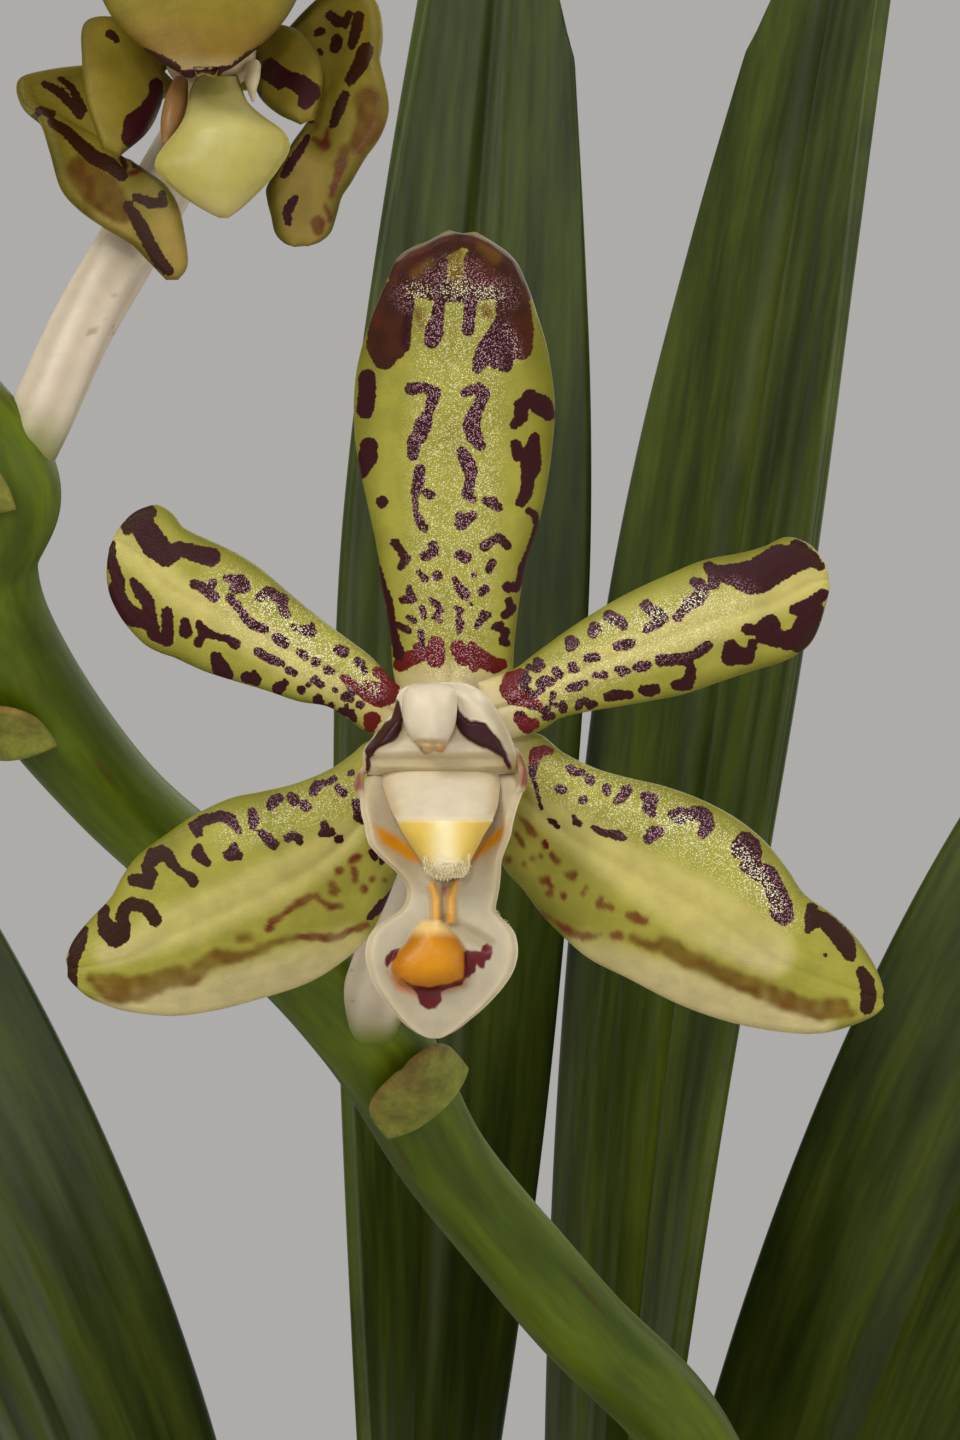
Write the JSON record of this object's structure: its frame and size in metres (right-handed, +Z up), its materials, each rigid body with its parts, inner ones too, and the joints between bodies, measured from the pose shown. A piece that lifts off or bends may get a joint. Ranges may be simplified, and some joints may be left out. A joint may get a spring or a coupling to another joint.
{
  "type": "potted orchid plant",
  "caption": "Potted orchid: terracotta pot of bark, strap-leaved stem with aerial roots, and an arching spray of spotted flowers and buds.",
  "frame": {"origin": "centre of the pot's underside, on the surface it stands on", "axes": "+Z up, -Y the way the flowers face, +X to the right as seen from the flowers' front"},
  "size_m": [0.2752, 0.1674, 0.3382],
  "materials": {
    "terracotta": "unglazed fired clay, matte",
    "bark": "coarse fir bark chips, matte",
    "stem": "plant stem under dry sheaths, satin",
    "leaf": "leathery leaf, satin",
    "root": "silvery velamen, matte, with green growing tips",
    "stalk": "smooth green flower stalk, satin",
    "tepal": "yellow-green flesh with maroon blotches and sparkling cells, satin",
    "lip": "waxy cream flesh with orange and maroon marks, satin",
    "pedicel": "waxy off-white flower stem, satin",
    "bud": "yellow-green bud, satin",
    "bract": "papery bract drying to brown, matte"
  },
  "bodies": {
    "root": {"pot": "terracotta", "bark_medium": "bark", "stem": "stem", "aerial_root_1": "root", "aerial_root_2": "root", "aerial_root_3": "root", "aerial_root_4": "root", "aerial_root_5": "root", "flower_stalk": "stalk", "leaf_1": "leaf", "leaf_2": "leaf", "leaf_3": "leaf", "leaf_4": "leaf", "leaf_5": "leaf", "leaf_6": "leaf", "leaf_7": "leaf", "leaf_8": "leaf", "leaf_9": "leaf", "flower_1_dorsal_sepal": "tepal", "flower_1_petal_left": "tepal", "flower_1_petal_right": "tepal", "flower_1_lateral_sepal_left": "tepal", "flower_1_lateral_sepal_right": "tepal", "flower_1_column": "lip", "flower_1_anther_cap": "lip", "flower_1_lip": "lip", "flower_1_pedicel": "pedicel", "flower_2_dorsal_sepal": "tepal", "flower_2_petal_left": "tepal", "flower_2_petal_right": "tepal", "flower_2_lateral_sepal_left": "tepal", "flower_2_lateral_sepal_right": "tepal", "flower_2_column": "lip", "flower_2_anther_cap": "lip", "flower_2_lip": "lip", "flower_2_pedicel": "pedicel", "flower_3_dorsal_sepal": "tepal", "flower_3_petal_left": "tepal", "flower_3_petal_right": "tepal", "flower_3_lateral_sepal_left": "tepal", "flower_3_lateral_sepal_right": "tepal", "flower_3_column": "lip", "flower_3_anther_cap": "lip", "flower_3_lip": "lip", "flower_3_pedicel": "pedicel", "bud_1": "bud", "bud_2": "bud", "bud_3": "bud", "bud_4": "bud", "bract_1": "bract", "bract_2": "bract", "bract_3": "bract", "bract_4": "bract"}
  },
  "joints": []
}
